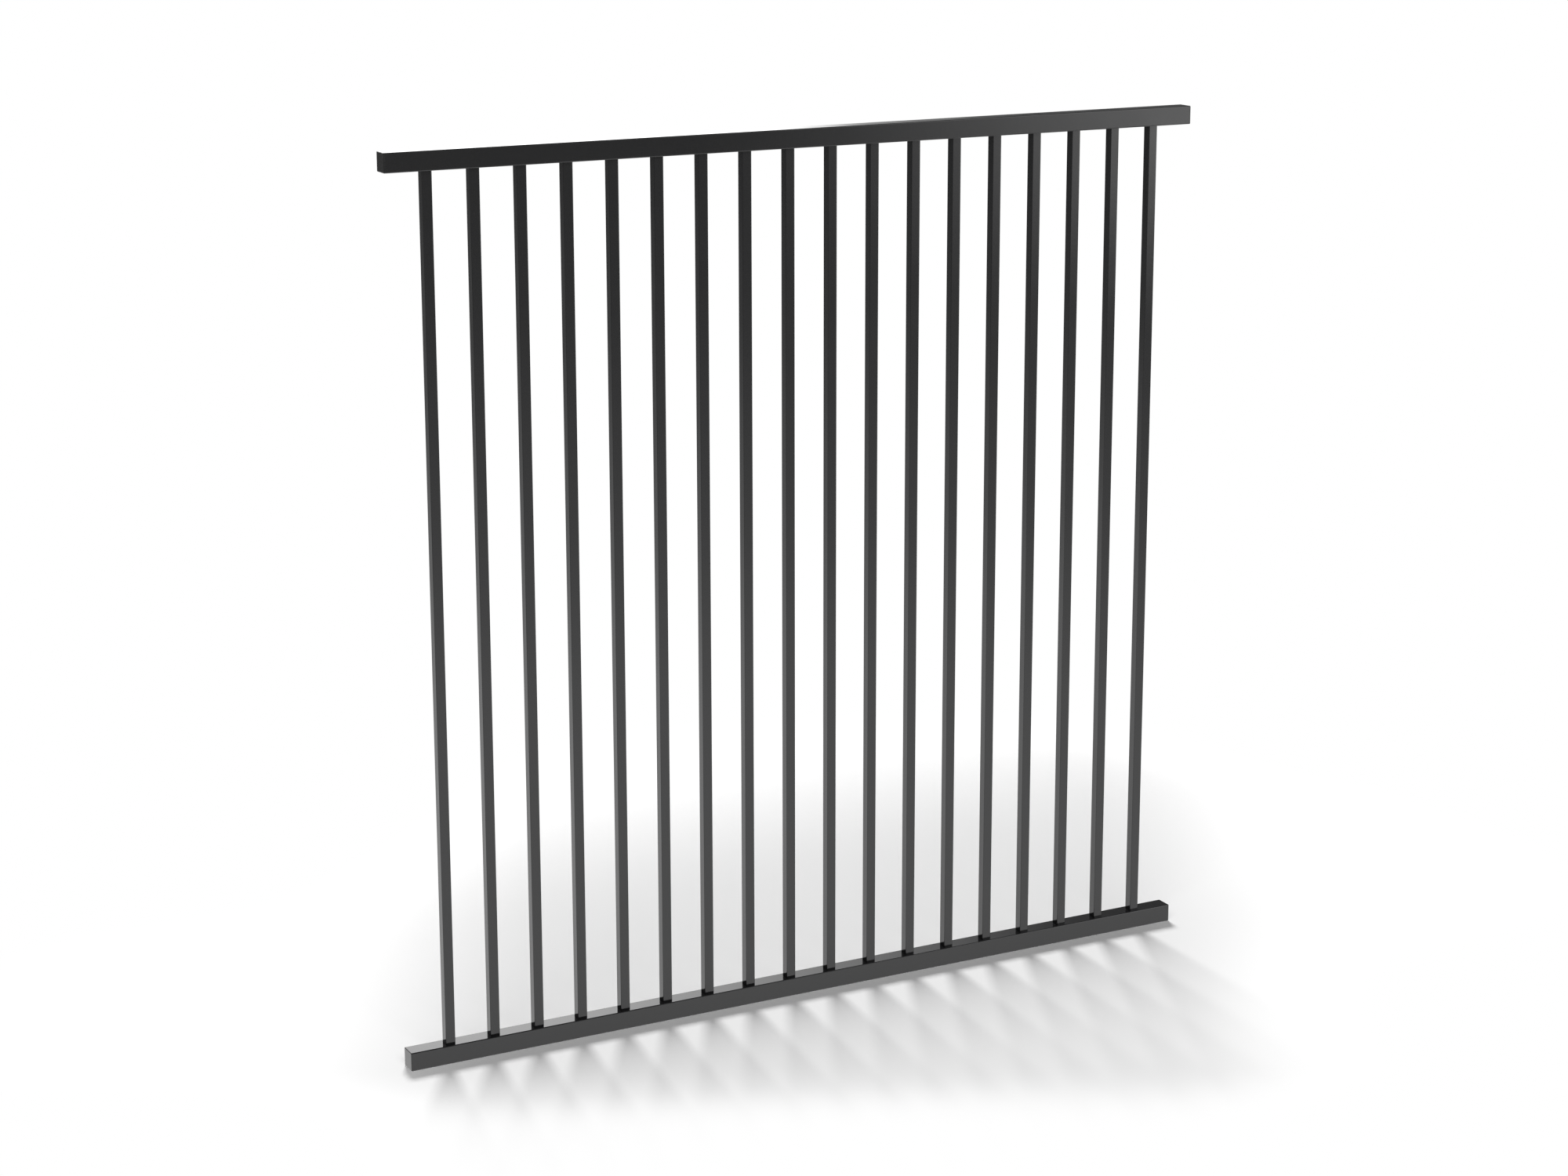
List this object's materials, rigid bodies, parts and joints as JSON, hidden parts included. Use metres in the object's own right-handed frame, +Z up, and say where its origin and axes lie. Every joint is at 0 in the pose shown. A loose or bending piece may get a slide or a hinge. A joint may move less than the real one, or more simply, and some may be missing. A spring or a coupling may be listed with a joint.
{
  "type": "ornamental steel fence panel",
  "caption": "Flat-topped steel fence panel: a row of slim upright square pickets set into two hollow square rails with capped ends, in gloss black.",
  "frame": {"origin": "middle of the flat underside of the bottom rail, halfway along and halfway through the panel", "axes": "+X along the panel to the right, +Y from the front to the back, +Z up along the pickets"},
  "size_m": [1.789, 0.038, 1.806],
  "materials": {
    "rail_coat": "gloss black powder coat",
    "picket_coat": "gloss black powder coat",
    "cap_plastic": "gloss black moulded"
  },
  "bodies": {
    "root": {"bottom_rail": "rail_coat", "top_rail": "rail_coat", "picket_01": "picket_coat", "picket_02": "picket_coat", "picket_03": "picket_coat", "picket_04": "picket_coat", "picket_05": "picket_coat", "picket_06": "picket_coat", "picket_07": "picket_coat", "picket_08": "picket_coat", "picket_09": "picket_coat", "picket_10": "picket_coat", "picket_11": "picket_coat", "picket_12": "picket_coat", "picket_13": "picket_coat", "picket_14": "picket_coat", "picket_15": "picket_coat", "picket_16": "picket_coat", "picket_17": "picket_coat", "picket_18": "picket_coat", "bottom_rail_left_cap": "cap_plastic", "bottom_rail_right_cap": "cap_plastic", "top_rail_left_cap": "cap_plastic", "top_rail_right_cap": "cap_plastic"}
  },
  "joints": []
}
